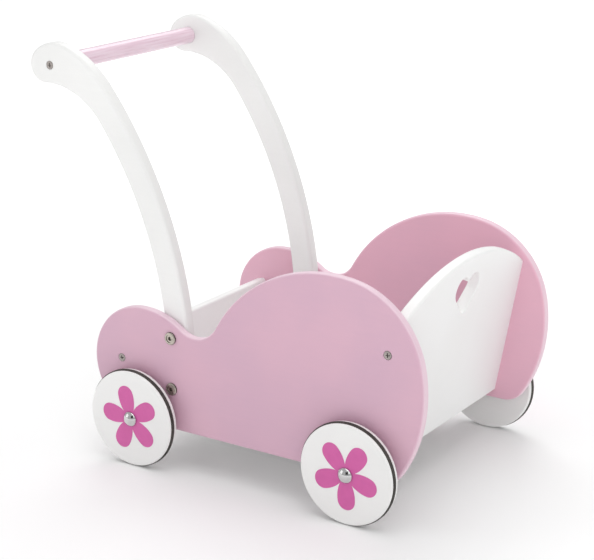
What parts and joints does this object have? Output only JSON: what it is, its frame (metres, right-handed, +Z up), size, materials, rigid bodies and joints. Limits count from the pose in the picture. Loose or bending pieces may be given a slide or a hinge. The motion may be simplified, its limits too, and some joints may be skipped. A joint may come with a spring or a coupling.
{
  "type": "doll pram",
  "caption": "Wooden doll pram with curved side panels, an arched front board with a heart cut-out, bent handle arms with a round grip, and flower wheels on through axles.",
  "frame": {"origin": "on the floor, under the middle of the pram's overall length and width", "axes": "+X forward, towards the hood and the heart cut-out; +Y the pram's left side; +Z up"},
  "size_m": [0.4628, 0.3104, 0.4173],
  "materials": {
    "pink_paint": "satin pink paint on fibreboard",
    "white_paint": "satin white paint on fibreboard",
    "grip_paint": "satin pink paint on a round rod",
    "bare_wood": "bare birch",
    "flower_print": "flat magenta print",
    "rubber": "matt black rubber",
    "chrome": "bright pressed steel",
    "steel": "nickel plated",
    "nylon": "moulded nylon"
  },
  "bodies": {
    "pram_body": {"left_side_panel": "pink_paint", "right_side_panel": "pink_paint", "front_board": "white_paint", "rear_board": "white_paint", "floor_board": "white_paint", "left_handle_arm": "white_paint", "right_handle_arm": "white_paint", "handle_grip": "grip_paint", "arm_bolts": "steel", "arm_inserts": "steel", "front_board_screws": "steel", "rear_board_screws": "steel", "grip_screws": "steel", "front_board_dowels": "bare_wood", "rear_board_dowels": "bare_wood", "floor_board_dowels": "bare_wood"},
    "front_axle_set": {"front_axle": "steel", "front_left_spacer": "nylon", "front_left_hub_cap": "chrome", "front_right_spacer": "nylon", "front_right_hub_cap": "chrome"},
    "front_left_wheel_set": {"front_left_wheel": "white_paint", "front_left_tyre": "rubber", "front_left_flower": "flower_print"},
    "front_right_wheel_set": {"front_right_wheel": "white_paint", "front_right_tyre": "rubber", "front_right_flower": "flower_print"},
    "rear_axle_set": {"rear_axle": "steel", "rear_left_spacer": "nylon", "rear_left_hub_cap": "chrome", "rear_right_spacer": "nylon", "rear_right_hub_cap": "chrome"},
    "rear_left_wheel_set": {"rear_left_wheel": "white_paint", "rear_left_tyre": "rubber", "rear_left_flower": "flower_print"},
    "rear_right_wheel_set": {"rear_right_wheel": "white_paint", "rear_right_tyre": "rubber", "rear_right_flower": "flower_print"}
  },
  "joints": [
    {"name": "front_axle_turn", "type": "hinge", "parent": "pram_body", "child": "front_axle_set", "pos_m": [0.16007, 0, 0.051], "axis": [0, 1, 0], "continuous": true},
    {"name": "front_left_wheel_turn", "type": "hinge", "parent": "front_axle_set", "child": "front_left_wheel_set", "pos_m": [0.16007, 0, 0.051], "axis": [0, 1, 0], "continuous": true},
    {"name": "front_right_wheel_turn", "type": "hinge", "parent": "front_axle_set", "child": "front_right_wheel_set", "pos_m": [0.16007, 0, 0.051], "axis": [0, 1, 0], "continuous": true},
    {"name": "rear_axle_turn", "type": "hinge", "parent": "pram_body", "child": "rear_axle_set", "pos_m": [-0.09343, 0, 0.051], "axis": [0, 1, 0], "continuous": true},
    {"name": "rear_left_wheel_turn", "type": "hinge", "parent": "rear_axle_set", "child": "rear_left_wheel_set", "pos_m": [-0.09343, 0, 0.051], "axis": [0, 1, 0], "continuous": true},
    {"name": "rear_right_wheel_turn", "type": "hinge", "parent": "rear_axle_set", "child": "rear_right_wheel_set", "pos_m": [-0.09343, 0, 0.051], "axis": [0, 1, 0], "continuous": true}
  ]
}
